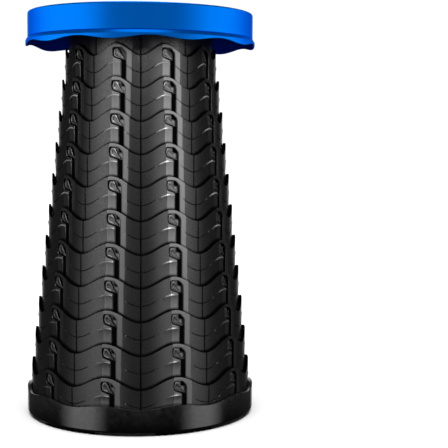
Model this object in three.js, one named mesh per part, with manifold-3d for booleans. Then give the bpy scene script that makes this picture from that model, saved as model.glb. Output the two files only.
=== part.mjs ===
// Telescoping camp stool: twelve nested wall sections between a round seat and a round base.
// Units are millimetres and +Z is up. The origin is on the floor under the middle of the base.
// Azimuths are measured from the front (-Y) and grow towards +X.

import * as THREE from "three";
import { mergeVertices } from "three/addons/utils/BufferGeometryUtils.js";
import Module from "manifold-3d";

const wasm = await Module();
wasm.setup();

// ---------------------------------------------------------------- driving dimensions

const HEIGHT = 450;
const LOBES = 10; // waves, slots and locking pins round every section
const SECTIONS = 12; // wall sections: the first hangs from the seat, the last stands in the base
const FIT_GAP = 0.3; // between pieces that are fastened together
const OVERCUT = 1; // how far a cut reaches past the face that it opens

// Wall sections
const NECK_RADIUS = 81.0; // outer radius of the first section
const RADIUS_STEP = 3.9; // each section is this much larger than the one above it
const WALL = 2.3;
const SECTION_HEIGHT = 53.3; // from the crest of the top edge to the flat bottom edge
const PITCH = 35.06; // height from one section to the next when the stool is drawn out
const LAST_CREST_Z = 60.45; // crest of the section that stands in the base
const WAVE_DEPTH = 12.5; // crest to trough of a section's top edge

// One lobe runs from trough to trough. Right of each crest the round wall has a flat facet, the pad.
const LOBE_ANGLE = 360 / LOBES;
const CREST_ANGLE = LOBE_ANGLE / 2;
const FLANK_ANGLE = 8; // a column between the trough and the pad
const LAST_FLANK_ANGLE = 31.5; // a column between the pad and the next trough
const COLUMNS = 6;
const PAD_MIDDLE = 6.8; // to the right of the crest
const PAD_HALF_WIDTH = 10.2;

// Hooked slot in each pad: x to the right of the crest, y up from it
const SLOT_LEFT = 5.0;
const SLOT_RIGHT = 11.4;
const SLOT_FOOT = -46;
const HOOK_OUTLINE = [
  [SLOT_RIGHT, SLOT_FOOT],
  [SLOT_RIGHT, -11.5],
  [8.6, -6.6],
  [4.4, -4.2],
  [-1.6, -4.0],
  [-3.8, -6.6],
  [-3.8, -12.4],
  [-1.8, -15.4],
  [SLOT_LEFT, -17.3],
  [SLOT_LEFT, SLOT_FOOT],
];

// Locking pin, a drop with a tail that points to the slot, in the same coordinates as the hook it locks in
const PIN_LENGTH = 3.0;
const PIN_OUTLINE = [
  [-3.3, -11.2],
  [-1.5, -14.6],
  [2.2, -15.2],
  [8.6, -16.6],
  [4.0, -11.2],
  [2.4, -5.0],
  [-1.4, -5.0],
];

// Blind groove in the inner face that the pin of the section inside runs down
const GROOVE_LEFT = -3.8;
const GROOVE_RIGHT = 9.2;
const GROOVE_TOP = -9;
const GROOVE_DEPTH = 1.6;

// Seat
const SEAT_RADIUS = 126.2;
const SEAT_WALL = 1.7;
const SEAT_TOP_THICKNESS = 2.6;
const SEAT_EDGE_ROUND = 3;
const LIP_RADIUS = 128.6;
const LIP_TOP_Z = 422.4; // where the skirt begins to flare
const LIP_FLARE_Z = 418.2; // where the flare is complete
const LIP_CREST_Z = 416.15;
const LIP_WAVE_DEPTH = 3.8;
const LIP_CREST_ANGLE = 4.5; // the seat is turned a little against the sections
const ROUND_STEPS = 40; // segments of every full turn on the seat and the base
const EDGE_STEPS = 3; // segments of a rounded rim

// Grip disc with two finger holes
const GRIP_RADIUS = 43.7;
const GRIP_FLANGE_RADIUS = 52;
const GRIP_FLANGE_THICKNESS = 2.7;
const FINGER_RADIUS = 12.5;
const FINGER_SPACING = 55;
const FINGER_TUBE_WALL = 2;
const FINGER_TUBE_FOOT_Z = 428;
const FINGER_SIDES = 20;
const FINGER_TUBE_TOP_Z = 449; // inside the disc, so that the tubes join it

// Seat frame, between the seat cover and the neck's flange
const NECK_FLANGE_Z = 431;
const NECK_FLANGE_THICKNESS = 3;
const NECK_FLANGE_INNER = 50;
const FRAME_PLATE_Z = 441.1;
const FRAME_PLATE_THICKNESS = 3;
const FRAME_HUB_RADIUS = 57;
const FRAME_RIB = 3;

// Screws
const SCREWS = 5;
const SCREW_SIDES = 8;
const HOLE_SIDES = 6;
const SEAT_SCREW = { circle: 66, shank: 1.9, head: 3.8, headHeight: 2.2, length: 13, start: 36 };
const SEAT_BOSS_RADIUS = 5;
const SEAT_PILOT_DEPTH = 11.5; // of the screw holes, from just below the bosses' feet
const BASE_SCREW = { circle: 112, shank: 1.5, head: 3.4, headHeight: 1.0, length: 5, start: 36 };

// Base
const BASE_RADIUS = 128.8;
const BASE_BOTTOM_Z = 2.2;
const BASE_TROUGH_Z = 27.8;
const BASE_WAVE_DEPTH = 3.8;
const BASE_FLOOR = 2.1; // thickness of the base ring's ledge and of the base plate
const BASE_LEDGE_RADIUS = 119.5;
const BASE_EDGE_ROUND = 3;
const LAST_FLANGE_INNER = 106;
const LAST_FLANGE_THICKNESS = 2.6;
const PLATE_RIBS = 10;
const PLATE_RIB_START = 10; // from the axis
const PLATE_RIB_MARGIN = 4; // between the ribs' ends and the base flange
const PLATE_RIB_HEIGHT = 2.4; // above the plate

// Rubber feet
const FEET = 6;
const FOOT_HEIGHT = 1.9;
const FOOT_INNER = 116.5;
const FOOT_OUTER = 126.6;
const FOOT_ARC = 30;
const FOOT_START = 22;
const FOOT_SEGMENTS = 5;

// ---------------------------------------------------------------- values worked out from them

const EDGE_TOLERANCE = 0.01; // a vertex this close to a height lies on it
const WELD_DISTANCE = 1e-4;
const lastRadius = sectionRadius(SECTIONS - 1);
const seatUnderside = HEIGHT - SEAT_TOP_THICKNESS;
const flangeTop = NECK_FLANGE_Z + NECK_FLANGE_THICKNESS;
const neckInner = NECK_RADIUS - WALL;
const sectionFloor = BASE_BOTTOM_Z + BASE_FLOOR + FIT_GAP;

function rad(degrees) {
  return THREE.MathUtils.degToRad(degrees);
}

function sectionRadius(index) {
  return NECK_RADIUS + RADIUS_STEP * index;
}

function sectionCrest(index) {
  return LAST_CREST_Z + PITCH * (SECTIONS - 1 - index);
}

// The azimuth of a pad's middle within its lobe, and the share of the radius that its flat face lies at.
function padAngle(index) {
  return CREST_ANGLE + THREE.MathUtils.radToDeg(Math.asin(PAD_MIDDLE / sectionRadius(index)));
}

function padFlatness(index) {
  return Math.cos(Math.asin(PAD_HALF_WIDTH / sectionRadius(index)));
}

// The columns of one lobe of a section, in degrees from its trough.
function lobeColumns(index) {
  const half = THREE.MathUtils.radToDeg(Math.asin(PAD_HALF_WIDTH / sectionRadius(index)));
  const middle = padAngle(index);
  return [0, FLANK_ANGLE, middle - half, CREST_ANGLE, middle + half, LAST_FLANK_ANGLE];
}

// ---------------------------------------------------------------- materials

const blackPlastic = new THREE.MeshStandardMaterial({ color: 0x24262a, roughness: 0.38, metalness: 0 });
const rimPlastic = new THREE.MeshStandardMaterial({ color: 0x121316, roughness: 0.2, metalness: 0 });
const bluePlastic = new THREE.MeshStandardMaterial({ color: 0x0a6fe8, roughness: 0.25, metalness: 0 });
const innerPlastic = new THREE.MeshStandardMaterial({ color: 0x1c1d20, roughness: 0.6, metalness: 0 });
const screwSteel = new THREE.MeshStandardMaterial({ color: 0xb4b6ba, roughness: 0.35, metalness: 1 });
const footRubber = new THREE.MeshStandardMaterial({ color: 0x1a1a1a, roughness: 0.9, metalness: 0 });

// ---------------------------------------------------------------- solids and meshes

// A closed three.js geometry as a solid that can be joined and cut.
function solid(geometry) {
  const bare = geometry.index ? geometry.toNonIndexed() : geometry.clone();
  bare.deleteAttribute("normal");
  bare.deleteAttribute("uv");
  const merged = mergeVertices(bare, WELD_DISTANCE);
  const vertProperties = merged.attributes.position.array;
  const triVerts = new Uint32Array(merged.index.array);
  return new wasm.Manifold(new wasm.Mesh({ numProp: 3, vertProperties, triVerts }));
}

function geometryOf(made) {
  const mesh = made.getMesh();
  const geometry = new THREE.BufferGeometry();
  geometry.setAttribute("position", new THREE.BufferAttribute(mesh.vertProperties, 3));
  geometry.setIndex(new THREE.BufferAttribute(mesh.triVerts, 1));
  geometry.computeVertexNormals();
  return geometry;
}

function addMesh(parent, name, geometry, material) {
  const mesh = new THREE.Mesh(geometry, material);
  mesh.name = name;
  parent.add(mesh);
  return mesh;
}

// A closed profile of [radius, z] points turned about the Z axis, starting at the front.
function turned(profile, steps) {
  const points = profile.map(([radius, z]) => new THREE.Vector2(radius, z));
  points.push(points[0].clone());
  return new THREE.LatheGeometry(points, steps).rotateX(Math.PI / 2);
}

// A solid cylinder standing on the point (x, y, z).
function post(x, y, z, radius, height, sides) {
  const geometry = new THREE.CylinderGeometry(radius, radius, height, sides).rotateX(Math.PI / 2);
  return geometry.translate(x, y, z + height / 2);
}

function box(x, y, z, width, depth, height) {
  return new THREE.BoxGeometry(width, depth, height).translate(x, y, z);
}

// The points of a quarter circle from one angle to another, as [radius, z].
function arc(centreRadius, centreZ, radius, from, to, steps) {
  return Array.from({ length: steps + 1 }, (_, i) => {
    const angle = rad(from + ((to - from) * i) / steps);
    return [centreRadius + radius * Math.cos(angle), centreZ + radius * Math.sin(angle)];
  });
}

function onCircle(radius, azimuth) {
  return [radius * Math.sin(rad(azimuth)), -radius * Math.cos(rad(azimuth))];
}

// How far the wave lies below its crest at an azimuth.
function waveDrop(azimuth, crestAzimuth, depth) {
  return (depth * (1 - Math.cos(rad(LOBES * (azimuth - crestAzimuth))))) / 2;
}

// Moves the vertices near one height down by the wave, so that an edge becomes wavy.
function makeWavy(geometry, edgeZ, crestAzimuth, depth) {
  const position = geometry.attributes.position;
  for (let i = 0; i < position.count; i += 1) {
    if (Math.abs(position.getZ(i) - edgeZ) > EDGE_TOLERANCE) continue;
    const azimuth = THREE.MathUtils.radToDeg(Math.atan2(position.getX(i), -position.getY(i)));
    position.setZ(i, edgeZ - waveDrop(azimuth, crestAzimuth, depth));
  }
  return geometry;
}

// ---------------------------------------------------------------- wall sections

// A closed tube whose lathe columns are moved to the columns of the lobes. The columns on a pad move in to
// its flat face, and the top edge takes the wave.
function lobedTube(index, outer, inner, bottom, top, waveDepth) {
  const geometry = turned([[outer, bottom], [outer, top], [inner, top], [inner, bottom]], LOBES * COLUMNS);
  const position = geometry.attributes.position;
  const columns = lobeColumns(index);
  const [, , padStart, , padEnd] = columns;
  for (let i = 0; i < position.count; i += 1) {
    const x = position.getX(i);
    const y = position.getY(i);
    const turn = (Math.atan2(x, -y) / (2 * Math.PI) + 1) % 1;
    const column = Math.round(turn * LOBES * COLUMNS) % (LOBES * COLUMNS);
    const inLobe = columns[column % COLUMNS];
    const azimuth = Math.floor(column / COLUMNS) * LOBE_ANGLE + inLobe;
    const onPad = inLobe >= padStart && inLobe <= padEnd;
    const flat = onPad ? padFlatness(index) / Math.cos(rad(inLobe - padAngle(index))) : 1;
    const [newX, newY] = onCircle(Math.hypot(x, y) * flat, azimuth);
    position.setX(i, newX);
    position.setY(i, newY);
    if (position.getZ(i) > top - EDGE_TOLERANCE) {
      position.setZ(i, top - waveDrop(inLobe, CREST_ANGLE, waveDepth));
    }
  }
  return geometry;
}

// Carries a shape drawn on a flat pad (x from the crest, y up, z out from the axis) to the pad of one lobe.
function toPad(geometry, index, lobe) {
  geometry.translate(-PAD_MIDDLE, 0, 0);
  return geometry.rotateX(Math.PI / 2).rotateZ(rad(lobe * LOBE_ANGLE + padAngle(index)));
}

// A prism on an outline of [x, y] points, y measured from the height `crest`, between two distances out.
function padPrism(points, crest, from, to) {
  const outline = new THREE.Shape(points.map(([x, y]) => new THREE.Vector2(x, crest + y)));
  return new THREE.ExtrudeGeometry(outline, { depth: to - from, bevelEnabled: false }).translate(0, 0, from);
}

function wallSection(index) {
  const first = index === 0;
  const last = index === SECTIONS - 1;
  const crest = sectionCrest(index);
  const outer = sectionRadius(index);
  const inner = outer - WALL;
  const bottom = last ? sectionFloor : crest - SECTION_HEIGHT;
  const top = first ? seatUnderside - FIT_GAP : crest;
  const face = outer * padFlatness(index);
  const innerFace = face - WALL;
  const grooveFoot = bottom - crest - OVERCUT;
  const groove = [
    [GROOVE_LEFT, grooveFoot],
    [GROOVE_RIGHT, grooveFoot],
    [GROOVE_RIGHT, GROOVE_TOP],
    [GROOVE_LEFT, GROOVE_TOP],
  ];
  let made = solid(lobedTube(index, outer, inner, bottom, top, first ? 0 : WAVE_DEPTH));
  for (let lobe = 0; lobe < LOBES; lobe += 1) {
    if (!first) {
      const slot = padPrism(HOOK_OUTLINE, crest, face - 2 * WALL, face + WALL);
      const track = padPrism(groove, crest, innerFace - WALL, innerFace + GROOVE_DEPTH);
      made = made.subtract(solid(toPad(slot, index, lobe)));
      made = made.subtract(solid(toPad(track, index, lobe)));
    }
    if (!last) {
      const pin = padPrism(PIN_OUTLINE, crest - PITCH, face - WALL / 4, face + PIN_LENGTH);
      made = made.add(solid(toPad(pin, index, lobe)));
    }
  }
  if (first) made = made.add(neckFlange(inner));
  if (last) made = made.add(baseFlange(inner));
  return geometryOf(made);
}

// A flat ring joined to the inside of a lobed wall, with screw holes.
function flange(wallInner, innerRadius, bottom, thickness, screw) {
  const outerRadius = wallInner + WALL / 4;
  const top = bottom + thickness;
  const profile = [[outerRadius, bottom], [outerRadius, top], [innerRadius, top], [innerRadius, bottom]];
  let made = solid(turned(profile, ROUND_STEPS));
  for (const [x, y] of screwPlaces(screw)) {
    const height = thickness + 2 * OVERCUT;
    made = made.subtract(solid(post(x, y, bottom - OVERCUT, screw.shank + FIT_GAP, height, HOLE_SIDES)));
  }
  return made;
}

function neckFlange(wallInner) {
  return flange(wallInner, NECK_FLANGE_INNER, NECK_FLANGE_Z, NECK_FLANGE_THICKNESS, SEAT_SCREW);
}

function baseFlange(wallInner) {
  return flange(wallInner, LAST_FLANGE_INNER, sectionFloor, LAST_FLANGE_THICKNESS, BASE_SCREW);
}

// ---------------------------------------------------------------- seat

function screwPlaces(screw) {
  return Array.from({ length: SCREWS }, (_, i) => onCircle(screw.circle, screw.start + (360 / SCREWS) * i));
}

function seatCover() {
  const inside = SEAT_RADIUS - SEAT_WALL;
  const lipInside = LIP_RADIUS - SEAT_WALL;
  const edge = SEAT_EDGE_ROUND;
  const profile = [
    [lipInside, LIP_CREST_Z],
    [LIP_RADIUS, LIP_CREST_Z],
    [LIP_RADIUS, LIP_FLARE_Z],
    [SEAT_RADIUS, LIP_TOP_Z],
    ...arc(SEAT_RADIUS - edge, HEIGHT - edge, edge, 0, 90, EDGE_STEPS),
    [GRIP_RADIUS + FIT_GAP, HEIGHT],
    [GRIP_RADIUS + FIT_GAP, seatUnderside],
    [inside, seatUnderside],
    [inside, LIP_TOP_Z],
    [lipInside, LIP_FLARE_Z],
  ];
  const shell = turned(profile, ROUND_STEPS);
  let made = solid(makeWavy(shell, LIP_CREST_Z, LIP_CREST_ANGLE, LIP_WAVE_DEPTH));
  const bossFoot = flangeTop + FIT_GAP;
  const bossHeight = seatUnderside - bossFoot + SEAT_TOP_THICKNESS / 2;
  for (const [x, y] of screwPlaces(SEAT_SCREW)) {
    const boss = solid(post(x, y, bossFoot, SEAT_BOSS_RADIUS, bossHeight, SCREW_SIDES));
    const pilotRadius = SEAT_SCREW.shank + FIT_GAP;
    const pilot = solid(post(x, y, bossFoot - OVERCUT, pilotRadius, SEAT_PILOT_DEPTH, HOLE_SIDES));
    made = made.add(boss).subtract(pilot);
  }
  return geometryOf(made);
}

function fingerPlaces() {
  return [-FINGER_SPACING / 2, FINGER_SPACING / 2];
}

function gripDisc() {
  const flangeSeat = seatUnderside - FIT_GAP - GRIP_FLANGE_THICKNESS;
  const profile = [
    [0, flangeSeat],
    [GRIP_FLANGE_RADIUS, flangeSeat],
    [GRIP_FLANGE_RADIUS, seatUnderside - FIT_GAP],
    [GRIP_RADIUS, seatUnderside - FIT_GAP],
    [GRIP_RADIUS, HEIGHT],
    [0, HEIGHT],
  ];
  let made = solid(turned(profile, ROUND_STEPS));
  const tubeRadius = FINGER_RADIUS + FINGER_TUBE_WALL;
  const tubeHeight = FINGER_TUBE_TOP_Z - FINGER_TUBE_FOOT_Z;
  const holeFoot = FINGER_TUBE_FOOT_Z - OVERCUT;
  const holeHeight = HEIGHT - holeFoot + OVERCUT;
  for (const x of fingerPlaces()) {
    made = made.add(solid(post(x, 0, FINGER_TUBE_FOOT_Z, tubeRadius, tubeHeight, FINGER_SIDES)));
    made = made.subtract(solid(post(x, 0, holeFoot, FINGER_RADIUS, holeHeight, FINGER_SIDES)));
  }
  return geometryOf(made);
}

function seatFrame() {
  const outer = neckInner * padFlatness(0) - 2 * FIT_GAP;
  const foot = flangeTop + FIT_GAP;
  const plateTop = FRAME_PLATE_Z + FRAME_PLATE_THICKNESS;
  const rimInner = outer - FRAME_RIB;
  const hubInner = FRAME_HUB_RADIUS - FRAME_RIB;
  const crown = seatUnderside - FIT_GAP;
  const profile = [
    [0, FRAME_PLATE_Z],
    [hubInner, FRAME_PLATE_Z],
    [hubInner, foot],
    [FRAME_HUB_RADIUS, foot],
    [FRAME_HUB_RADIUS, FRAME_PLATE_Z],
    [rimInner, FRAME_PLATE_Z],
    [rimInner, foot],
    [outer, foot],
    [outer, crown],
    [rimInner, crown],
    [rimInner, plateTop],
    [0, plateTop],
  ];
  let made = solid(turned(profile, ROUND_STEPS));
  const ribLength = rimInner - FRAME_HUB_RADIUS + 2 * OVERCUT;
  const ribHeight = FRAME_PLATE_Z - foot + OVERCUT;
  const ribMiddle = (rimInner + FRAME_HUB_RADIUS) / 2;
  for (let rib = 0; rib < SCREWS; rib += 1) {
    const bar = box(0, -ribMiddle, foot + ribHeight / 2, FRAME_RIB, ribLength, ribHeight);
    made = made.add(solid(bar.rotateZ(rad((360 / SCREWS) * rib))));
  }
  const height = crown - foot + 2 * OVERCUT;
  for (const [x, y] of screwPlaces(SEAT_SCREW)) {
    made = made.subtract(solid(post(x, y, foot - OVERCUT, SEAT_BOSS_RADIUS + FIT_GAP, height, SCREW_SIDES)));
  }
  for (const x of fingerPlaces()) {
    const hole = FINGER_RADIUS + FINGER_TUBE_WALL + FIT_GAP;
    made = made.subtract(solid(post(x, 0, foot - OVERCUT, hole, height, FINGER_SIDES)));
  }
  return geometryOf(made);
}

// A screw that points up, with its head's upper face at z.
function screwGeometry(screw, x, y, z) {
  const profile = [
    [0, z - screw.headHeight],
    [screw.head, z - screw.headHeight],
    [screw.head, z],
    [screw.shank, z],
    [screw.shank, z + screw.length],
    [0, z + screw.length],
  ];
  return turned(profile, SCREW_SIDES).translate(x, y, 0);
}

// ---------------------------------------------------------------- base

function baseRing() {
  const crest = BASE_TROUGH_Z + BASE_WAVE_DEPTH;
  const wallInside = (lastRadius + FIT_GAP) / Math.cos(Math.PI / ROUND_STEPS); // clear of the flats too
  const edge = BASE_EDGE_ROUND;
  const ledgeTop = BASE_BOTTOM_Z + BASE_FLOOR;
  const profile = [
    [BASE_LEDGE_RADIUS, BASE_BOTTOM_Z],
    ...arc(BASE_RADIUS - edge, BASE_BOTTOM_Z + edge, edge, -90, 0, EDGE_STEPS),
    [BASE_RADIUS, crest],
    [wallInside, crest],
    [wallInside, ledgeTop],
    [BASE_LEDGE_RADIUS, ledgeTop],
  ];
  return makeWavy(turned(profile, ROUND_STEPS), crest, CREST_ANGLE, BASE_WAVE_DEPTH);
}

function basePlate() {
  const outer = BASE_LEDGE_RADIUS - FIT_GAP;
  const top = BASE_BOTTOM_Z + BASE_FLOOR;
  const profile = [[0, BASE_BOTTOM_Z], [outer, BASE_BOTTOM_Z], [outer, top], [0, top]];
  let made = solid(turned(profile, ROUND_STEPS));
  const ribLength = LAST_FLANGE_INNER - PLATE_RIB_MARGIN - PLATE_RIB_START;
  const ribMiddle = PLATE_RIB_START + ribLength / 2;
  const ribFoot = top - BASE_FLOOR / 2;
  const ribHeight = PLATE_RIB_HEIGHT + BASE_FLOOR / 2;
  for (let rib = 0; rib < PLATE_RIBS; rib += 1) {
    const bar = box(0, -ribMiddle, ribFoot + ribHeight / 2, FRAME_RIB, ribLength, ribHeight);
    made = made.add(solid(bar.rotateZ(rad((360 / PLATE_RIBS) * rib))));
  }
  for (const [x, y] of screwPlaces(BASE_SCREW)) {
    made = made.subtract(solid(post(x, y, 0, BASE_SCREW.shank + FIT_GAP, top + OVERCUT, HOLE_SIDES)));
  }
  return geometryOf(made);
}

function footPad() {
  const outline = new THREE.Shape();
  const half = rad(FOOT_ARC / 2);
  outline.absarc(0, 0, FOOT_OUTER, -Math.PI / 2 - half, -Math.PI / 2 + half, false);
  outline.absarc(0, 0, FOOT_INNER, -Math.PI / 2 + half, -Math.PI / 2 - half, true);
  const settings = { depth: FOOT_HEIGHT, bevelEnabled: false, curveSegments: FOOT_SEGMENTS };
  return new THREE.ExtrudeGeometry(outline, settings);
}

// ---------------------------------------------------------------- the stool

const stool = new THREE.Group();
const numbered = (word, number) => word + "_" + String(number).padStart(2, "0");

const seat = new THREE.Group();
addMesh(seat, "seat_cover", seatCover(), bluePlastic);
addMesh(seat, "grip_disc", gripDisc(), bluePlastic);
addMesh(seat, "seat_frame", seatFrame(), innerPlastic);
screwPlaces(SEAT_SCREW).forEach(([x, y], i) => {
  const geometry = screwGeometry(SEAT_SCREW, x, y, NECK_FLANGE_Z - FIT_GAP);
  addMesh(seat, numbered("seat_screw", i + 1), geometry, screwSteel);
});
stool.add(seat);

const walls = new THREE.Group();
for (let index = 0; index < SECTIONS; index += 1) {
  addMesh(walls, numbered("section", index + 1), wallSection(index), blackPlastic);
}
stool.add(walls);

const base = new THREE.Group();
addMesh(base, "base_ring", baseRing(), rimPlastic);
addMesh(base, "base_plate", basePlate(), innerPlastic);
screwPlaces(BASE_SCREW).forEach(([x, y], i) => {
  const geometry = screwGeometry(BASE_SCREW, x, y, BASE_BOTTOM_Z - FIT_GAP);
  addMesh(base, numbered("base_screw", i + 1), geometry, screwSteel);
});
for (let foot = 0; foot < FEET; foot += 1) {
  const pad = addMesh(base, numbered("foot", foot + 1), footPad(), footRubber);
  pad.rotation.z = rad(FOOT_START + (360 / FEET) * foot);
}
stool.add(base);

export default stool;
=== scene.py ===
"""Camp stool that telescopes: twelve black wall sections between a blue seat and a black base.

Shapes are worked out in millimetres and become metres when a mesh is made. +Z is up, the origin is on the
floor under the middle of the base, and the front faces -Y. Azimuths grow from the front towards +X.
"""

import math

import bmesh
import bpy
from mathutils import Matrix, Vector
from mathutils.geometry import delaunay_2d_cdt


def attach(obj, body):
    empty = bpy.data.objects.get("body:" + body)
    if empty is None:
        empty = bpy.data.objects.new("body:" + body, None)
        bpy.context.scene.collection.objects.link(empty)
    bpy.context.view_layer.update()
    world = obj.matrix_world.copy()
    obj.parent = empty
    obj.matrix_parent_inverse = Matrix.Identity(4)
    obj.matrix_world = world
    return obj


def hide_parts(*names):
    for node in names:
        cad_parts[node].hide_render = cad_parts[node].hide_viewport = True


MM = 0.001

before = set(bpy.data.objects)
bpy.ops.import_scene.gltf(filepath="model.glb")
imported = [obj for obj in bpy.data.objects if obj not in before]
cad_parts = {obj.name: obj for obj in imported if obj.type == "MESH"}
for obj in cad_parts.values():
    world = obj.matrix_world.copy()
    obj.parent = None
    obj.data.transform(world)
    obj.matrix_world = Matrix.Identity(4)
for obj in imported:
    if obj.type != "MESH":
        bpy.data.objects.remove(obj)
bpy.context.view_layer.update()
scene = bpy.context.scene


def new_object(name, data):
    made = bpy.data.objects.new(name, data)
    scene.collection.objects.link(made)
    return made


# ---- camera

CAMERA_PLACE = (0.0, -1.2676, 0.3139)
CAMERA_DOWN = 4.544  # degrees below the horizontal
CAMERA_RIGHT = 4.307  # degrees to the right of straight ahead
CAMERA_ROLL = 0.35
CAMERA_LENS = 89.04

lens = bpy.data.cameras.new("camera")
lens.lens = CAMERA_LENS
lens.clip_start = 0.05
lens.clip_end = 60
camera = new_object("camera", lens)
camera.matrix_world = (
    Matrix.Translation(CAMERA_PLACE)
    @ Matrix.Rotation(math.radians(-CAMERA_RIGHT), 4, "Z")
    @ Matrix.Rotation(math.radians(90 - CAMERA_DOWN), 4, "X")
    @ Matrix.Rotation(math.radians(CAMERA_ROLL), 4, "Z")
)
scene.camera = camera
scene.view_settings.view_transform = "Standard"


# ---- dimensions

HEIGHT = 450
LOBES = 10
LOBE_ANGLE = 360 / LOBES
SECTIONS = 12

NECK_RADIUS = 81.0
RADIUS_STEP = 3.9
WALL = 2.3
SECTION_HEIGHT = 53.3
PITCH = 35.06
LAST_CREST_Z = 60.45
WAVE_DEPTH = 12.5
CREST_ANGLE = LOBE_ANGLE / 2
LAST_BOTTOM_Z = 4.6
NECK_TOP_Z = 447.1

PAD_MIDDLE = 6.8  # right of the crest
PAD_HALF_WIDTH = 10.2

# Hooked slot on the pad: x right of the crest, y up from it, and the rounding of the corner
HOOK = [
    (11.4, -46.0, 1.6),
    (11.4, -9.4, 6.0),
    (6.4, -4.2, 5.0),
    (-3.6, -3.8, 3.4),
    (-4.0, -9.0, 6.0),
    (-3.2, -14.6, 3.0),
    (5.0, -17.4, 0.7),
    (5.0, -46.0, 1.6),
]
# The thin lip inside the hook ends at this outline, with a corner for each of the hook's
LIP = [
    (10.8, -45.3, 1.3),
    (10.8, -9.7, 5.7),
    (6.2, -4.7, 4.7),
    (-3.4, -4.2, 3.2),
    (-3.7, -9.0, 5.8),
    (-3.0, -14.3, 2.9),
    (5.7, -17.6, 0.7),
    (5.7, -45.3, 1.3),
]
THROAT_LEFT = 10.5  # the channel's left wall slants to this place behind the lip
THROAT_TOP = -17.9
LIP_DEPTH = 0.25  # below the pad
LIP_SHADE = 0.35
LIP_BACK = 0.7  # below the pad, over the pin that passes behind it
HOOK_LINE_DEPTH = 0.5  # narrow groove between the pad and the lip
HOOK_LINE_OUT = 0.3
HOOK_LINE_IN = 0.25
HOOK_LINE_MIDDLE = 0.05
LIP_CHAMFER = 0.12

# Locking pin, drawn like the hook that it sits in
PIN = [
    (-3.2, -9.6, 2.6),
    (-2.6, -14.0, 2.4),
    (2.2, -15.4, 1.6),
    (9.0, -16.9, 0.5),
    (5.2, -12.0, 2.0),
    (3.4, -7.0, 2.6),
    (1.6, -4.7, 2.0),
    (-2.0, -4.8, 2.0),
]
PIN_HEART = (0.1, -10.4)
PIN_TAIL = (7.2, -16.0)
PIN_HEIGHT = 3.0
# Levels of the pin: how far drawn in towards its spine, how far out from the wall, and how rubbed
PIN_LEVELS = [
    (0.0, -0.5, 0.0),
    (0.0, PIN_HEIGHT - 1.0, 0.0),
    (0.07, PIN_HEIGHT - 0.35, 0.3),
    (0.22, PIN_HEIGHT - 0.05, 0.4),
    (0.42, PIN_HEIGHT, 0.2),
    (0.58, PIN_HEIGHT - 0.45, 0.0),
    (1.0, PIN_HEIGHT - 0.55, 0.0),
]
PIN_FLANK = 2  # strips between levels with the painted-shade finish, a painted dark outline round the pin

GROOVE_LEFT = -3.8  # blind groove for the pin in the inner face
GROOVE_RIGHT = 9.2
GROOVE_TOP = -9.0
GROOVE_DEPTH = 1.6
GROOVE_SLOPE = 0.25  # width of the groove's sides

TROUGH_GROOVE = 0.75  # half width of the upright groove between two lobes
TROUGH_GROOVE_FLOOR = 0.3
TROUGH_GROOVE_DEPTH = 1.1
TROUGH_SHADE = 0.95
SECOND_WAVE = 18.3  # below the top edge
SECOND_WAVE_HALF = 0.6
SECOND_WAVE_FLOOR = 0.25
SECOND_WAVE_DEPTH = 0.9
SECOND_WAVE_REACH = 18.0  # to each side of the trough
SECOND_WAVE_SHADE = 0.85
# painted shadow: a dark band painted on each section just over the top edge of the next one
CONTACT_SHADE = 0.9  # dark line where a section comes out of the next one
CONTACT_SHADE_BELOW = 4.0
CONTACT_SHADE_FULL = 0.8
CONTACT_SHADE_END = 3.0
RIDGE_HEIGHT = 0.95
RIDGE_RISE = 1.35
RIDGE_FALL = 7.0
RIDGE_LEFT = -12.5
RIDGE_FULL = -1.0
RIDGE_RIGHT = 5.0
RIDGE_HIGHLIGHT_FROM = 0.2
RIDGE_HIGHLIGHT_PAST = 0.1

NECK_FLANGE = {"z": 431.0, "thickness": 3.0, "inner": 50.0}
BASE_FLANGE = {"z": 4.6, "thickness": 2.6, "inner": 106.0}

CLEARANCE = 0.3  # between neighbours inside the seat
SEAT_RADIUS = 126.2
SEAT_WALL = 1.7
SEAT_TOP_THICKNESS = 2.6
LIP_RADIUS = 128.6
LIP_TOP_Z = 422.4
LIP_FLARE_Z = 418.2
LIP_CREST_Z = 416.15
LIP_WAVE_DEPTH = 3.8
LIP_CREST_ANGLE = 4.5

GRIP_RADIUS = 43.7
GRIP_FLANGE_RADIUS = 52.0
GRIP_FLANGE_THICKNESS = 2.7
FINGER_RADIUS = 12.5
FINGER_X = 27.5
FINGER_TUBE_WALL = 2.0
FINGER_TUBE_FOOT_Z = 428.0

FRAME_PLATE_Z = 441.1
FRAME_PLATE_TOP_Z = 444.1
FRAME_FOOT_Z = 434.3
FRAME_RIM = 77.4
FRAME_HUB = 57.0
FRAME_RIB = 3.0
FRAME_ROUND = 0.3

SCREWS = 5
SCREW_START = 36.0
SEAT_SCREW = {"circle": 66.0, "shank": 1.9, "head": 3.8, "head_height": 2.2, "length": 13.0, "top": 430.7}
BASE_SCREW = {"circle": 112.0, "shank": 1.5, "head": 3.4, "head_height": 1.0, "length": 5.0, "top": 1.9}
SEAT_BOSS_RADIUS = 5.0

BASE_RADIUS = 128.8
BASE_BOTTOM_Z = 2.2
BASE_TROUGH_Z = 27.8
BASE_WAVE_DEPTH = 3.8
BASE_CREST_Z = BASE_TROUGH_Z + BASE_WAVE_DEPTH
BASE_WAVE_FULL = 2  # the wall follows the wavy edge down to here below the crest
BASE_WAVE_NONE = 6
BASE_LEDGE_RADIUS = 119.5
BASE_LEDGE_TOP_Z = 4.3
BASE_INSIDE = 124.5
PLATE_RADIUS = 119.2
PLATE_RIBS = 10

FEET = 6
FOOT_START = 22.0
FOOT_ARC = 30.0
FOOT_INNER = 116.5
FOOT_OUTER = 126.6
FOOT_HEIGHT = 1.9


# ---- materials


def new_material(name):
    made = bpy.data.materials.new(name)
    made.use_nodes = True
    tree = made.node_tree
    shader = tree.nodes["Principled BSDF"]
    return made, tree, shader


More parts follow.
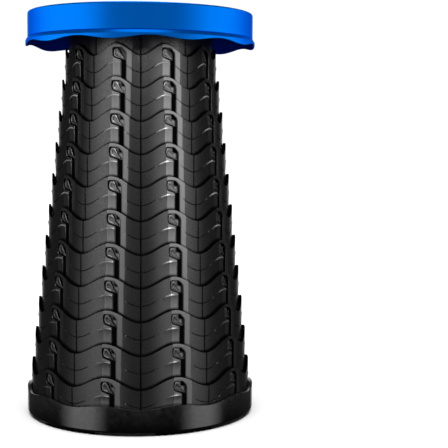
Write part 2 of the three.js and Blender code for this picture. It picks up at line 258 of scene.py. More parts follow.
def noise(tree, scale, detail):
    """A noise anchored to the piece, in cycles per metre."""
    place = tree.nodes.new("ShaderNodeTexCoord")
    texture = tree.nodes.new("ShaderNodeTexNoise")
    for name, value in (("Scale", scale), ("Detail", detail), ("Roughness", NOISE_ROUGHNESS)):
        texture.inputs[name].default_value = value
    tree.links.new(place.outputs["Object"], texture.inputs["Vector"])
    return texture.outputs["Fac"]


def between(tree, value, low, high, start=0.3, end=0.7):
    """Maps the middle of a noise to the range from low to high."""
    spread = tree.nodes.new("ShaderNodeMapRange")
    for limit, size in (("From Min", start), ("From Max", end), ("To Min", low), ("To Max", high)):
        spread.inputs[limit].default_value = size
    tree.links.new(value, spread.inputs["Value"])
    return spread.outputs["Result"]


def blend_colour(tree, factor, first, second):
    """A mix of two colours. Each may be a fixed colour or another node's output."""
    mix = tree.nodes.new("ShaderNodeMix")
    mix.data_type = "RGBA"
    tree.links.new(factor, mix.inputs["Factor"])
    for socket, colour in ((mix.inputs[6], first), (mix.inputs[7], second)):
        if isinstance(colour, tuple):
            socket.default_value = (*colour, 1)
        else:
            tree.links.new(colour, socket)
    return mix.outputs[2]


def times(tree, first, second):
    product = tree.nodes.new("ShaderNodeMath")
    product.operation = "MULTIPLY"
    for socket, value in zip(product.inputs, (first, second)):
        if isinstance(value, (int, float)):
            socket.default_value = value
        else:
            tree.links.new(value, socket)
    return product.outputs["Value"]


def attribute(tree, name):
    node = tree.nodes.new("ShaderNodeAttribute")
    node.attribute_name = name
    return node.outputs["Fac"]


def object_place(tree):
    """The three coordinates of a point in the object's own frame."""
    place = tree.nodes.new("ShaderNodeTexCoord")
    split = tree.nodes.new("ShaderNodeSeparateXYZ")
    tree.links.new(place.outputs["Object"], split.inputs["Vector"])
    return split.outputs


def height_fade(tree, first, second):
    """The value `first` low down on the drawn-out stool and `second` high up, with FADE_HEIGHTS between."""
    return between(tree, object_place(tree)["Z"], first, second, *FADE_HEIGHTS)


def add_bump(tree, shader, strength, distance, scale, detail):
    bump = tree.nodes.new("ShaderNodeBump")
    bump.inputs["Strength"].default_value = strength
    bump.inputs["Distance"].default_value = distance
    tree.links.new(noise(tree, scale, detail), bump.inputs["Height"])
    tree.links.new(bump.outputs["Normal"], shader.inputs["Normal"])


def moulded(name, colour, pale, wear_and_sheen, roughness, grain, shine=(0.5, 0.5), wear_and_highlight_share=(1.0, 1.0)):
    """Moulded plastic or rubber: cloudy colour, uneven gloss, a fine grain, rubbed edges, painted highlights
    and painted shade.

    shine is the specular level, and the wear share is the share of the rubbing and painted highlight that
    shows. Each has a value for the bottom and one for the top of the drawn-out stool; where the two differ,
    the change is painted light falloff towards the floor.
    """
    made, tree, shader = new_material(name)
    body = blend_colour(tree, between(tree, noise(tree, *CLOUDS), 0.0, 1.0), colour, pale)
    # rubbed edges, and painted highlights where the wear attribute marks them, take the lighter worn colour
    rubbed_and_lit = times(tree, attribute(tree, "wear_and_sheen"), between(tree, noise(tree, *SCUFFS_AND_SHEEN), 0.25, 1.0))
    shown = times(tree, rubbed_and_lit, height_fade(tree, *wear_and_highlight_share))
    rubbed_and_lit_body = blend_colour(tree, shown, body, wear_and_sheen)
    # painted shade: grooves and the corner over the next section are blended towards black and lose their
    # gloss
    painted_shade = times(tree, attribute(tree, "painted_shade"), between(tree, noise(tree, *PAINTED_SHADE_NOISE), 0.9, 1.0))
    tree.links.new(blend_colour(tree, painted_shade, rubbed_and_lit_body, PAINTED_SHADE_COLOUR), shader.inputs["Base Color"])
    uneven = between(tree, noise(tree, *GLOSS_CLOUDS), roughness * 0.96, roughness * 1.05)
    tree.links.new(uneven, shader.inputs["Roughness"])
    clear = between(tree, painted_shade, 1.0, 0.0, 0.0, 1.0)
    level = height_fade(tree, *shine)
    tree.links.new(times(tree, level, clear), shader.inputs["Specular IOR Level"])
    add_bump(tree, shader, grain, GRAIN_DEPTH, *GRAIN)
    return made, shader


def plated_steel(name):
    """Zinc plated steel with fine turning marks and small stains."""
    made, tree, shader = new_material(name)
    stains = between(tree, noise(tree, *STAINS), 0.0, 1.0)
    zinc = blend_colour(tree, stains, (0.52, 0.52, 0.54), (0.66, 0.67, 0.70))
    tree.links.new(zinc, shader.inputs["Base Color"])
    tree.links.new(between(tree, noise(tree, *STEEL_CLOUDS), 0.24, 0.4), shader.inputs["Roughness"])
    add_bump(tree, shader, 0.25, TURNING_DEPTH, *TURNING_MARKS)
    shader.inputs["Metallic"].default_value = 1.0
    return made


NOISE_ROUGHNESS = 0.55
# Noises: cycles per metre and detail
CLOUDS = (22, 5)
SCUFFS_AND_SHEEN = (160, 4)
PAINTED_SHADE_NOISE = (300, 3)
GLOSS_CLOUDS = (55, 6)
GRAIN = (1400, 3)
STAINS = (900, 6)
STEEL_CLOUDS = (700, 5)
TURNING_MARKS = (4000, 2)
GRAIN_DEPTH = 0.0001
TURNING_DEPTH = 0.00005
# the colour of the painted shade in grooves and crevices
PAINTED_SHADE_COLOUR = (0.0015, 0.0015, 0.0015)
FADE_HEIGHTS = (0.10, 0.27)  # metres over the floor
# the painted ridge highlight shows fully high up and fades out towards the floor, painted light falloff
SECTION_HIGHLIGHT_FADE = (0.15, 1.0)
MATT = (0.0, 0.0)


def grey(level):
    """A grey with a trace of blue."""
    return (level, level, level * 1.02)


# the lighter worn colour shows only as the painted highlight on the ridge under each pin
section_black, _ = moulded(
    "section_black", grey(0.0085), grey(0.010), grey(0.6), 0.27, 0.2, wear_and_highlight_share=SECTION_HIGHLIGHT_FADE
)
# painted light: the pads' gloss grows with height, standing in for light falling off towards the floor; their
# worn colour is the painted ridge highlight
pad_grey, shader = moulded(
    "pad_grey", grey(0.013), grey(0.016), grey(0.4), 0.29, 0.3, shine=(0.54, 0.76), wear_and_highlight_share=SECTION_HIGHLIGHT_FADE
)
shader.inputs["IOR"].default_value = 1.72
# painted light: the pins' gloss grows with height, standing in for light falling off towards the floor
pin_grey, shader = moulded("pin_grey", grey(0.02), grey(0.026), grey(0.2), 0.2, 0.12, shine=(0.2, 0.55))
shader.inputs["IOR"].default_value = 1.7
# painted shade: a near-black, matt copy of the black plastic for faces inside, slot walls, edges and pin
# flanks
painted_shade_black, _ = moulded("painted_shade_black", grey(0.001), grey(0.0016), grey(0.004), 0.9, 0.3, shine=MATT)
# the rim's worn colour paints a highlight line along its top edge
rim_black, _ = moulded("rim_black", grey(0.0012), grey(0.0018), grey(0.07), 0.15, 0.05)
seat_blue, shader = moulded(
    "seat_blue", (0.0, 0.155, 0.72), (0.0, 0.162, 0.74), (0.0, 0.23, 0.88), 0.3, 0.06, shine=MATT
)
shader.inputs["Specular Tint"].default_value = (0.0, 0.30, 1.0, 1)
shader.inputs["Metallic"].default_value = 0.6
# painted shade: a darker, deeper blue copy of the seat plastic for the inside of the skirt and the screw
# bosses
seat_blue_shaded, _ = moulded(
    "seat_blue_shaded", (0.0, 0.03, 0.50), (0.0, 0.034, 0.54), (0.0, 0.06, 0.6), 0.5, 0.1, shine=MATT
)
inner_black, _ = moulded("inner_black", grey(0.016), grey(0.024), grey(0.07), 0.55, 0.5)
foot_rubber, _ = moulded("foot_rubber", grey(0.012), grey(0.022), grey(0.05), 0.85, 0.8)
screw_steel = plated_steel("screw_steel")


# ---- building meshes


class Shape:
    """Points in millimetres and faces of one piece, with a finish for each face.

    Each point has a share of rubbing and painted highlight, and a share of painted shade, both from 0 to 1.
    """

    def __init__(self):
        self.points = []
        self.wear_and_sheen = []
        self.painted_shade = []
        self.faces = []
        self.finishes = []

    def add(self, points, faces, finish=0, wear_and_sheen=0.0, painted_shade=0.0):
        """Adds a patch. The finish, the wear share and the painted shade share may each be one value or a
        list with one for each face or point.
        """
        start = len(self.points)
        self.points += points
        self.wear_and_sheen += wear_and_sheen if isinstance(wear_and_sheen, list) else [wear_and_sheen] * len(points)
        self.painted_shade += painted_shade if isinstance(painted_shade, list) else [painted_shade] * len(points)
        self.faces += [tuple(start + corner for corner in face) for face in faces]
        self.finishes += finish if isinstance(finish, list) else [finish] * len(faces)

    def piece(self, name, body, slot, materials, nodes):
        """Makes the object, closes its seams, hangs it on its body, and hides the CAD nodes that it stands
        for.
        """
        mesh = bpy.data.meshes.new(name)
        mesh.from_pydata([Vector(p) * MM for p in self.points], [], self.faces)
        mesh.attributes.new("wear_and_sheen", "FLOAT", "POINT").data.foreach_set("value", self.wear_and_sheen)
        mesh.attributes.new("painted_shade", "FLOAT", "POINT").data.foreach_set("value", self.painted_shade)
        mesh.polygons.foreach_set("material_index", self.finishes)
        work = bmesh.new()
        work.from_mesh(mesh)
        bmesh.ops.remove_doubles(work, verts=work.verts, dist=2e-6)
        bmesh.ops.dissolve_degenerate(work, edges=work.edges, dist=1e-7)
        bmesh.ops.recalc_face_normals(work, faces=work.faces)
        work.to_mesh(mesh)
        work.free()
        for material in materials:
            mesh.materials.append(material)
        mesh.shade_smooth()
        mesh.set_sharp_from_angle(angle=math.radians(SHARP_ANGLE))
        made = new_object(name, mesh)
        evened = made.modifiers.new("evened_normals", "WEIGHTED_NORMAL")
        evened.keep_sharp = True
        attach(made, body)
        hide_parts(*nodes)
        return made


SHARP_ANGLE = 32


def on_circle(radius, azimuth, z):
    """The point at a radius and an azimuth in degrees."""
    angle = math.radians(azimuth)
    return (radius * math.sin(angle), -radius * math.cos(angle), z)


def rounded(corners, steps=4):
    """An outline with its corners (x, y, rounding) turned into smooth bends."""
    outline = []
    for i, (x, y, rounding) in enumerate(corners):
        here = Vector((x, y))
        before = Vector(corners[i - 1][:2]) - here
        after = Vector(corners[(i + 1) % len(corners)][:2]) - here
        if rounding == 0:
            outline.append((x, y))
            continue
        half = before.angle(after) / 2
        reach = min(rounding / math.tan(half), before.length * 0.48, after.length * 0.48)
        start = here + before.normalized() * reach
        end = here + after.normalized() * reach
        for step in range(steps + 1):
            t = step / steps
            point = start * (1 - t) ** 2 + here * (2 * t * (1 - t)) + end * t**2
            outline.append((point.x, point.y))
    return outline


def strip_faces(rows, count, closed=True):
    """Four-sided faces between rows of points that follow one another, with `count` points in each row."""
    faces = []
    for row in range(rows - 1):
        for i in range(count if closed else count - 1):
            j = (i + 1) % count
            faces.append((row * count + i, row * count + j, (row + 1) * count + j, (row + 1) * count + i))
    return faces


def turned(shape, outline, steps, wear_and_sheen=0.0, finish=0, wave=None):
    """Turns a closed outline of (radius, z) about the Z axis.

    wave gives a height to add at a z and azimuth.
    """
    points = []
    for step in range(steps):
        azimuth = 360 * step / steps
        for radius, z in outline:
            lift = wave(z, azimuth) if wave else 0
            points.append(on_circle(radius, azimuth, z + lift))
    count = len(outline)
    faces = []
    for step in range(steps):
        here, there = step * count, (step + 1) % steps * count
        for i in range(count):
            j = (i + 1) % count
            faces.append((here + i, there + i, there + j, here + j))
    wear_and_highlight = wear_and_sheen * steps if isinstance(wear_and_sheen, list) else wear_and_sheen
    finishes = finish * steps if isinstance(finish, list) else finish
    shape.add(points, faces, finishes, wear_and_highlight)


def bent_edges(outline, least=18):
    """How rubbed each point of an outline is: 1 where it lies on a bend, 0 on the straight."""
    wear_and_highlight = []
    for i, point in enumerate(outline):
        here = Vector(point)
        into = here - Vector(outline[i - 1])
        out = Vector(outline[(i + 1) % len(outline)]) - here
        turn = math.degrees(into.angle(out, 0))
        wear_and_highlight.append(1.0 if turn > least else 0.0)
    return wear_and_highlight


class Drawing:
    """Lines on a flat sheet that are filled with triangles between them."""

    def __init__(self):
        self.points = []
        self.edges = []

    def line(self, points, closed=False):
        start = len(self.points)
        self.points += [Vector(p) for p in points]
        count = len(points)
        self.edges += [(start + i, start + i + 1) for i in range(count - 1)]
        if closed:
            self.edges.append((start + count - 1, start))

    def filled(self, outline, holes):
        """The triangles inside the outline and outside the holes, as points and faces."""
        points, _, faces, *_ = delaunay_2d_cdt(self.points, self.edges, [], 0, 1e-5)
        kept = []
        for face in faces:
            middle = sum((points[corner] for corner in face), Vector((0, 0))) / len(face)
            if is_within(outline, *middle) and not any(is_within(hole, *middle) for hole in holes):
                kept.append(tuple(face))
        return [(p.x, p.y) for p in points], kept


def is_within(outline, x, y):
    """Whether a point lies inside a closed outline."""
    found = False
    for i, (x1, y1) in enumerate(outline):
        x0, y0 = outline[i - 1]
        if (y0 > y) != (y1 > y) and x < (x1 - x0) * (y - y0) / (y1 - y0) + x0:
            found = not found
    return found


def distance_to(outline, x, y):
    """The distance from a point to a closed outline."""
    least = 1e9
    for i, (x1, y1) in enumerate(outline):
        x0, y0 = outline[i - 1]
        dx, dy = x1 - x0, y1 - y0
        length = dx * dx + dy * dy
        if length == 0:
            continue
        t = max(0.0, min(1.0, ((x - x0) * dx + (y - y0) * dy) / length))
        least = min(least, math.hypot(x - x0 - t * dx, y - y0 - t * dy))
    return least


def grown(outline, amount):
    """A closed outline moved outwards, for one whose points run anticlockwise or clockwise alike."""
    area = sum(x0 * y1 - x1 * y0 for (x0, y0), (x1, y1) in zip(outline[-1:] + outline[:-1], outline))
    side = 1 if area > 0 else -1
    moved = []
    for i, point in enumerate(outline):
        here = Vector(point)
        into = (here - Vector(outline[i - 1])).normalized()
        out = (Vector(outline[(i + 1) % len(outline)]) - here).normalized()
        along = into + out
        if along.length < 1e-6:
            along = into
        along.normalize()
        reach = amount * side / max(0.5, along.dot(into))
        moved.append((here.x + along.y * reach, here.y - along.x * reach))
    return moved


# ---- wall sections

hook = rounded(HOOK, 7)
hook_back = grown(hook, 0.9)  # the wider opening in the inner face
hook_line_out = grown(hook, HOOK_LINE_OUT)
hook_line_in = grown(hook, -HOOK_LINE_IN)
slot_lip = rounded(LIP, 7)
throat = rounded(LIP[:-2] + [(THROAT_LEFT, THROAT_TOP, 0.7), (THROAT_LEFT, *LIP[-1][1:])], 7)
lip_chamfer = grown(slot_lip, LIP_CHAMFER)
pin_outline = rounded(PIN, 4)


def fade(value, full, none):
    """1 up to the value `full`, 0 from the value `none`, and straight between."""
    return min(1.0, max(0.0, (none - value) / (none - full)))


class Lobe:
    """One tenth of a section, rolled out flat.

    s runs along the wall from the crest, and y is the height over the crest.
    """

    def __init__(self, index):
        self.index = index
        self.first = index == 0
        self.last = index == SECTIONS - 1
        self.radius = NECK_RADIUS + RADIUS_STEP * index
        self.crest = LAST_CREST_Z + PITCH * (SECTIONS - 1 - index)
        self.bottom = (LAST_BOTTOM_Z - self.crest) if self.last else -SECTION_HEIGHT
        self.half = math.asin(PAD_HALF_WIDTH / self.radius)
        self.middle = math.radians(CREST_ANGLE) + math.asin(PAD_MIDDLE / self.radius)
        self.pad_left = PAD_MIDDLE - PAD_HALF_WIDTH
        self.pad_right = PAD_MIDDLE + PAD_HALF_WIDTH
        self.left = self.pad_left - self.radius * (self.middle - self.half)
        self.right = self.pad_right + self.radius * (math.radians(LOBE_ANGLE) - self.middle - self.half)

    def azimuth(self, s):
        if s < self.pad_left:
            return self.middle - self.half - (self.pad_left - s) / self.radius
        if s > self.pad_right:
            return self.middle + self.half + (s - self.pad_right) / self.radius
        face = self.radius * math.cos(self.half)
        return self.middle + math.atan((s - PAD_MIDDLE) / face)

    def place(self, number, s, y, out):
        """The point in space on the lobe with that number, `out` further out than the outer face."""
        azimuth = self.azimuth(s)
        radius = self.radius + out
        if self.pad_left <= s <= self.pad_right:
            radius *= math.cos(self.half) / math.cos(azimuth - self.middle)
        return on_circle(radius, math.degrees(azimuth) + number * LOBE_ANGLE, self.crest + y)

    def wave(self, s):
        return -WAVE_DEPTH / 2 * (1 - math.cos(LOBES * self.azimuth(s) - math.pi))

    def top(self, s):
        """The top edge over s."""
        return NECK_TOP_Z - self.crest if self.first else self.wave(s)

    def on_pad(self, s):
        return self.pad_left < s < self.pad_right

    def second_wave(self, s):
        """The height of the wavy groove in the outer face. The neck has none."""
        return self.wave(s) - SECOND_WAVE

    def from_trough(self, s):
        return min(s - self.left, self.right - s)

    def in_second_wave(self, s, y):
        """How far a place lies in the wavy groove, from 0 to 1. The groove is deepest at the trough."""
        depth = max(0.0, 1 - (self.from_trough(s) / SECOND_WAVE_REACH) ** 3)
        return depth * fade(abs(y - self.second_wave(s)), SECOND_WAVE_FLOOR, SECOND_WAVE_HALF)

    def relief(self, s, y):
        """How far the outer face stands out at a place: grooves are below zero and ridges above."""
        out = 0.0
        out -= TROUGH_GROOVE_DEPTH * fade(self.from_trough(s), TROUGH_GROOVE_FLOOR, TROUGH_GROOVE)
        if self.first:
            return out
        over = y - self.second_wave(s)
        out = min(out, -SECOND_WAVE_DEPTH * self.in_second_wave(s, y))
        if RIDGE_LEFT < s < RIDGE_RIGHT and -RIDGE_FALL < over < 0:
            share = 1 - fade(s, RIDGE_LEFT, RIDGE_FULL)
            rise = min(1.0, -over / RIDGE_RISE)
            out += RIDGE_HEIGHT * share * rise * fade(-over, RIDGE_RISE, RIDGE_FALL)
        beside = self.from_hook(s, y)
        if beside < HOOK_LINE_OUT:
            line = fade(abs(beside), 0, HOOK_LINE_OUT if beside > 0 else HOOK_LINE_IN)
            out -= max(HOOK_LINE_DEPTH * line, LIP_DEPTH if beside < 0 else 0.0)
        return out

    def from_hook(self, s, y):
        """The distance to the hook's outline, below zero inside it, or a long way where it is not near."""
        margin = 2
        if not self.pad_left - margin < s < self.pad_right + margin or y < SLOT_FOOT - 2 * margin:
            return FAR
        gap = distance_to(hook, s, y)
        return -gap if is_within(hook, s, y) else gap

    def shade(self, s, y):
        """Painted shade at a place: the grooves, the hook's edge and the corner over the next section are
        painted darker, as if in shade.
        """
        dark = fade(self.from_trough(s), TROUGH_GROOVE_FLOOR, TROUGH_SHADE)
        over = y - self.wave(s) + PITCH
        if not self.last and over > -CONTACT_SHADE_BELOW:
            dark = max(dark, CONTACT_SHADE * fade(over, CONTACT_SHADE_FULL, CONTACT_SHADE_END))
        if self.first:
            return dark
        dark = max(dark, SECOND_WAVE_SHADE * self.in_second_wave(s, y))
        beside = self.from_hook(s, y)
        if beside < HOOK_LINE_OUT:
            middle, end = (0, HOOK_LINE_OUT) if beside > 0 else (HOOK_LINE_MIDDLE, HOOK_LINE_IN)
            dark = max(dark, fade(abs(beside), middle, end), LIP_SHADE if beside < 0 else 0.0)
        return dark

    def wear_and_highlight(self, s, y):
        """Painted highlight at a place: a light streak painted on the upper face of the ridge under each pin,
        and nowhere else.
        """
        if self.first or not RIDGE_LEFT < s < RIDGE_RIGHT:
            return 0.0
        below = self.second_wave(s) - y
        share = 1 - fade(s, RIDGE_LEFT, RIDGE_FULL)
        return share if RIDGE_HIGHLIGHT_FROM < below < RIDGE_RISE + RIDGE_HIGHLIGHT_PAST else 0.0

    def inner_relief(self, s, y):
        """How far the inner face lies behind the outer one."""
        slack = 0.01
        in_groove = GROOVE_LEFT - slack <= s <= GROOVE_RIGHT + slack and y <= GROOVE_TOP + slack
        if in_groove and not self.first:
            return GROOVE_DEPTH - WALL
        return -WALL

    def columns(self, spacing):
        """Places along s for upright lines: the ends, the pad's edges and an even spread between them."""
        places = [self.left, self.left + TROUGH_GROOVE_FLOOR, self.left + TROUGH_GROOVE]
        for start, end in (
            (self.left + TROUGH_GROOVE, RIDGE_LEFT),
            (RIDGE_LEFT, self.pad_left),
            (self.pad_left, self.pad_right),
            (self.pad_right, self.right - TROUGH_GROOVE),
        ):
            count = max(2, round((end - start) / spacing))
            places += [start + (end - start) * (i + 1) / count for i in range(count)]
        places += [self.right - TROUGH_GROOVE_FLOOR, self.right]
        return places


SLOT_FOOT = HOOK[0][1]
FAR = 9.0
EDGE_ROUND = 0.5  # rounding of a section's top edge
# The rounding: how far down from the edge, and how far back from the face
EDGE_CURVE = ((EDGE_ROUND, 0), (0.15, 0.1), (0.02, 0.3), (0, EDGE_ROUND))
INNER_ROUND = 0.3
FOOT_BACK = 0.4
BEHIND_LIP = -LIP_BACK - 0.02
COLUMN_SPACING = 3.2
INNER_SPACING = COLUMN_SPACING * 1.6
EDGE_SPACING = 1.3


def finer(places, spacing):
    """Adds places so that no two neighbours are further apart than the spacing."""
    out = [places[0]]
    for start, end in zip(places, places[1:]):
        count = max(1, math.ceil((end - start) / spacing))
        out += [start + (end - start) * (i + 1) / count for i in range(count)]
    return out


def section_face(lobe, inner):
    """One lobe's outer or inner face as flat points and triangles."""
    columns = lobe.columns(INNER_SPACING if inner else COLUMN_SPACING)
    dense = finer(columns, EDGE_SPACING)
    inset = INNER_ROUND if inner else EDGE_ROUND
    bottom = lobe.bottom + INNER_ROUND
    drawing = Drawing()
    top_line = [(s, lobe.top(s) - inset) for s in dense]
    outline = [(s, bottom) for s in columns] + list(reversed(top_line))
    drawing.line(outline, closed=True)
    for s in columns[1:-1]:
        drawing.line([(s, bottom), (s, lobe.top(s) - inset)])
    holes = []
    if not lobe.first:
        holes = [hook_back] if inner else [lip_chamfer]
        drawing.line(holes[0], closed=True)
        if inner:
            for wider in (GROOVE_SLOPE, 0):
                left, right, top = GROOVE_LEFT - wider, GROOVE_RIGHT + wider, GROOVE_TOP + wider
                drawing.line([(left, bottom), (left, top), (right, top), (right, bottom)])
        else:
            for ring in (hook_line_out, hook, hook_line_in):
                drawing.line(ring, closed=True)
            ridge = (-RIDGE_FALL, -RIDGE_RISE - 0.3, -RIDGE_RISE, -RIDGE_RISE / 2)
            groove = (-SECOND_WAVE_HALF, -SECOND_WAVE_FLOOR, 0.0, SECOND_WAVE_FLOOR, SECOND_WAVE_HALF)
            for over in ridge + groove:
                drawing.line([(s, lobe.second_wave(s) + over) for s in dense])
    if not inner and not lobe.last:
        for over in (0.0, CONTACT_SHADE_FULL, CONTACT_SHADE_END):
            drawing.line([(s, lobe.wave(s) - PITCH + over) for s in dense])
    return drawing.filled(outline, holes)


def add_band(shape, lobe, number, lines, closed, finish_of):
    """A band between lines of places (s, y, out) on a lobe.

    finish_of takes the s of a face on the first line, and the number of the strip.
    """
    count = len(lines[0])
    points = [lobe.place(number, *place) for line in lines for place in line]
    places = [s for s, _, _ in lines[0]]
    middles = [(s + after) / 2 for s, after in zip(places, places[1:] + places[:1])]
    if not closed:
        middles.pop()
    finishes = [finish_of(s, strip) for strip in range(len(lines) - 1) for s in middles]
    shape.add(points, strip_faces(len(lines), count, closed), finishes)


def add_pin(shape, lobe, number):
    """The drop-shaped locking pin on a lobe, PITCH below the crest."""
    heart, tail = Vector(PIN_HEART), Vector(PIN_TAIL)
    spine = tail - heart
    anchors = []
    for point in pin_outline:
        share = (Vector(point) - heart).dot(spine) / spine.length_squared
        anchors.append(heart + spine * max(0.0, min(1.0, share)))
    count = len(pin_outline)
    points, wear_and_highlight = [], []
    for share, out, wear_and_sheen in PIN_LEVELS:
        for point, anchor in zip(pin_outline, anchors):
            at = Vector(point).lerp(anchor, share)
            points.append(lobe.place(number, at.x, at.y - PITCH, out))
            wear_and_highlight.append(wear_and_sheen)
    cap = len(PIN_LEVELS) - 1 - PIN_FLANK
    finishes = [SHADED_FINISH] * (PIN_FLANK * count) + [PIN_FINISH] * (cap * count)
    shape.add(points, strip_faces(len(PIN_LEVELS), count), finishes, wear_and_highlight)


def add_flange(shape, lobe, flange):
    """A flat ring inside the wall, where the screws go through."""
    top = flange["z"] + flange["thickness"]
    outer = (lobe.radius - WALL) * math.cos(lobe.half) + 0.3
    inner, foot = flange["inner"], flange["z"]
    outline = rounded([(inner, foot, 0.5), (outer, foot, 0), (outer, top, 0), (inner, top, 0.5)])
    turned(shape, outline, FLANGE_STEPS)


FLANGE_STEPS = 80
WALL_FINISH, PAD_FINISH, PIN_FINISH, SHADED_FINISH = range(4)  # the last is the painted-shade finish: faces inside, slot walls, section edges and pin flanks painted near black


def wall_section(index):
    lobe = Lobe(index)
    shape = Shape()
    outer_points, outer_faces = section_face(lobe, inner=False)
    inner_points, inner_faces = section_face(lobe, inner=True)
    depths = [lobe.relief(s, y) for s, y in outer_points]
    inner_depths = [lobe.inner_relief(s, y) for s, y in inner_points]
    # painted shade and the painted ridge highlight for each point of the outer face
    shades = [lobe.shade(s, y) for s, y in outer_points]
    wear_and_highlight = [lobe.wear_and_highlight(s, y) for s, y in outer_points]

    def face_finish(s):
        return PAD_FINISH if lobe.on_pad(s) and not lobe.first else WALL_FINISH

    # the rounded top and bottom edges get the painted-shade finish, except the top strip on the pads, so they
    # show no light line
    def edge_finish(s, strip):
        return face_finish(s) if strip == 0 and lobe.on_pad(s) else SHADED_FINISH

    finishes = [face_finish(sum(outer_points[c][0] for c in face) / 3) for face in outer_faces]
    dense = finer(lobe.columns(COLUMN_SPACING), EDGE_SPACING)
    edge = [
        [(s, lobe.top(s) - down, lobe.relief(s, lobe.top(s) - EDGE_ROUND) - back) for s in dense]
        for down, back in EDGE_CURVE
    ]
    edge += [
        [(s, lobe.top(s), INNER_ROUND - WALL) for s in dense],
        [(s, lobe.top(s) - INNER_ROUND, -WALL) for s in dense],
    ]
    columns = lobe.columns(COLUMN_SPACING)
    low = lobe.bottom
    above = low + INNER_ROUND
    inner = [lobe.inner_relief(s, low) for s in columns]
    foot = [
        [(s, above, lobe.relief(s, above)) for s in columns],
        [(s, low, lobe.relief(s, above) - INNER_ROUND) for s in columns],
        [(s, low, min(lobe.relief(s, low) - FOOT_BACK, out + INNER_ROUND)) for s, out in zip(columns, inner)],
        [(s, above, out) for s, out in zip(columns, inner)],
    ]
    behind = [min(lobe.inner_relief(s, y), BEHIND_LIP) for s, y in hook]
    slot = [
        [(s, y, lobe.relief(s, y)) for s, y in lip_chamfer],
        [(*lip, lobe.relief(*chamfer) - LIP_CHAMFER) for lip, chamfer in zip(slot_lip, lip_chamfer)],
        [(s, y, -LIP_BACK) for s, y in throat],
        [(s, y, -LIP_BACK) for s, y in hook],
        [(s, y, out) for (s, y), out in zip(hook, behind)],
        [(s, y, out) for (s, y), out in zip(hook_back, behind)],
        [(s, y, lobe.inner_relief(s, y)) for s, y in hook_back],
    ]
    for number in range(LOBES):
        points = [lobe.place(number, s, y, out) for (s, y), out in zip(outer_points, depths)]
        shape.add(points, outer_faces, finishes, wear_and_highlight, shades)
        points = [lobe.place(number, s, y, out) for (s, y), out in zip(inner_points, inner_depths)]
        shape.add(points, inner_faces, SHADED_FINISH)
        add_band(shape, lobe, number, edge, False, edge_finish)
        add_band(shape, lobe, number, foot, False, edge_finish)
        if not lobe.first:
            add_band(shape, lobe, number, slot, True, lambda s, strip: SHADED_FINISH)
        if not lobe.last:
            add_pin(shape, lobe, number)
    if lobe.first:
        add_flange(shape, lobe, NECK_FLANGE)
    if lobe.last:
        add_flange(shape, lobe, BASE_FLANGE)
    name = f"section_{index + 1:02d}"
    body = "seat" if lobe.first else "base" if lobe.last else name
    materials = [section_black, pad_grey, pin_grey, painted_shade_black]
    return shape.piece(f"wall_{name}", body, "section_black", materials, [name])


walls = [wall_section(index) for index in range(SECTIONS)]


# ---- seat

ROUND_STEPS = 180


def wave_drop(azimuth, crest_azimuth, depth):
    """How far a wavy edge lies below its crest."""
    return depth * (1 - math.cos(math.radians(LOBES * (azimuth - crest_azimuth)))) / 2


def lip_wave(z, azimuth):
    return -fade(z, LIP_CREST_Z, LIP_FLARE_Z) * wave_drop(azimuth, LIP_CREST_ANGLE, LIP_WAVE_DEPTH)


def base_wave(z, azimuth):
    share = fade(BASE_CREST_Z - z, BASE_WAVE_FULL, BASE_WAVE_NONE)
    return -share * wave_drop(azimuth, CREST_ANGLE, BASE_WAVE_DEPTH)


def screw_places(screw):
    return [on_circle(screw["circle"], SCREW_START + 360 / SCREWS * i, 0) for i in range(SCREWS)]


CURVE_SLACK = 0.3
BOSS_STEPS = 24


def seat_cover():
    shape = Shape()
    underside = HEIGHT - SEAT_TOP_THICKNESS
    inside = SEAT_RADIUS - SEAT_WALL
    hole = GRIP_RADIUS + CLEARANCE
    corners = [
        (LIP_RADIUS - SEAT_WALL, LIP_CREST_Z, 0.5),
        (LIP_RADIUS, LIP_CREST_Z, 0.6),
        (LIP_RADIUS, LIP_FLARE_Z, 1.2),
        (SEAT_RADIUS + 0.35, LIP_TOP_Z - 0.9, 0.25),
        (SEAT_RADIUS, LIP_TOP_Z, 0.4),
        (SEAT_RADIUS, HEIGHT, 2.6),
        (hole, HEIGHT, 0.35),
        (hole, underside, 0.3),
        (inside, underside, 1.2),
        (inside, LIP_TOP_Z, 0.6),
        (LIP_RADIUS - SEAT_WALL, LIP_FLARE_Z, 0.6),
    ]
    outline = rounded(corners, 5)

    def is_inside(radius, z):
        outer = SEAT_RADIUS if z > LIP_TOP_Z else LIP_RADIUS
        return z < HEIGHT - 1 and radius < outer - SEAT_WALL + CURVE_SLACK

    # faces inside the skirt take the darker blue, a painted shade
    following = outline[1:] + outline[:1]
    finishes = [int(is_inside(*here) and is_inside(*there)) for here, there in zip(outline, following)]
    turned(shape, outline, ROUND_STEPS, bent_edges(outline, 14), finishes, lip_wave)
    bore = SEAT_SCREW["shank"] + CLEARANCE
    foot = NECK_FLANGE["z"] + NECK_FLANGE["thickness"] + CLEARANCE
    for x, y, _ in screw_places(SEAT_SCREW):
        corners = [
            (bore, foot, 0.3),
            (SEAT_BOSS_RADIUS, foot, 0.5),
            (SEAT_BOSS_RADIUS, underside - 2, 1.0),
            (SEAT_BOSS_RADIUS + 2, underside + 0.5, 0),
            (bore, underside + 0.5, 0),
        ]
        boss = rounded(corners)
        post = Shape()
        turned(post, boss, BOSS_STEPS, bent_edges(boss))
        # the screw bosses take the darker blue as well, painted shade
        shape.add([(px + x, py + y, pz) for px, py, pz in post.points], post.faces, 1, post.wear_and_sheen)
    return shape.piece("seat_shell", "seat", "seat_blue", [seat_blue, seat_blue_shaded], ["seat_cover"])


def circle(x, y, radius, steps):
    return [
        (x + radius * math.cos(2 * math.pi * i / steps), y + radius * math.sin(2 * math.pi * i / steps))
        for i in range(steps)
    ]


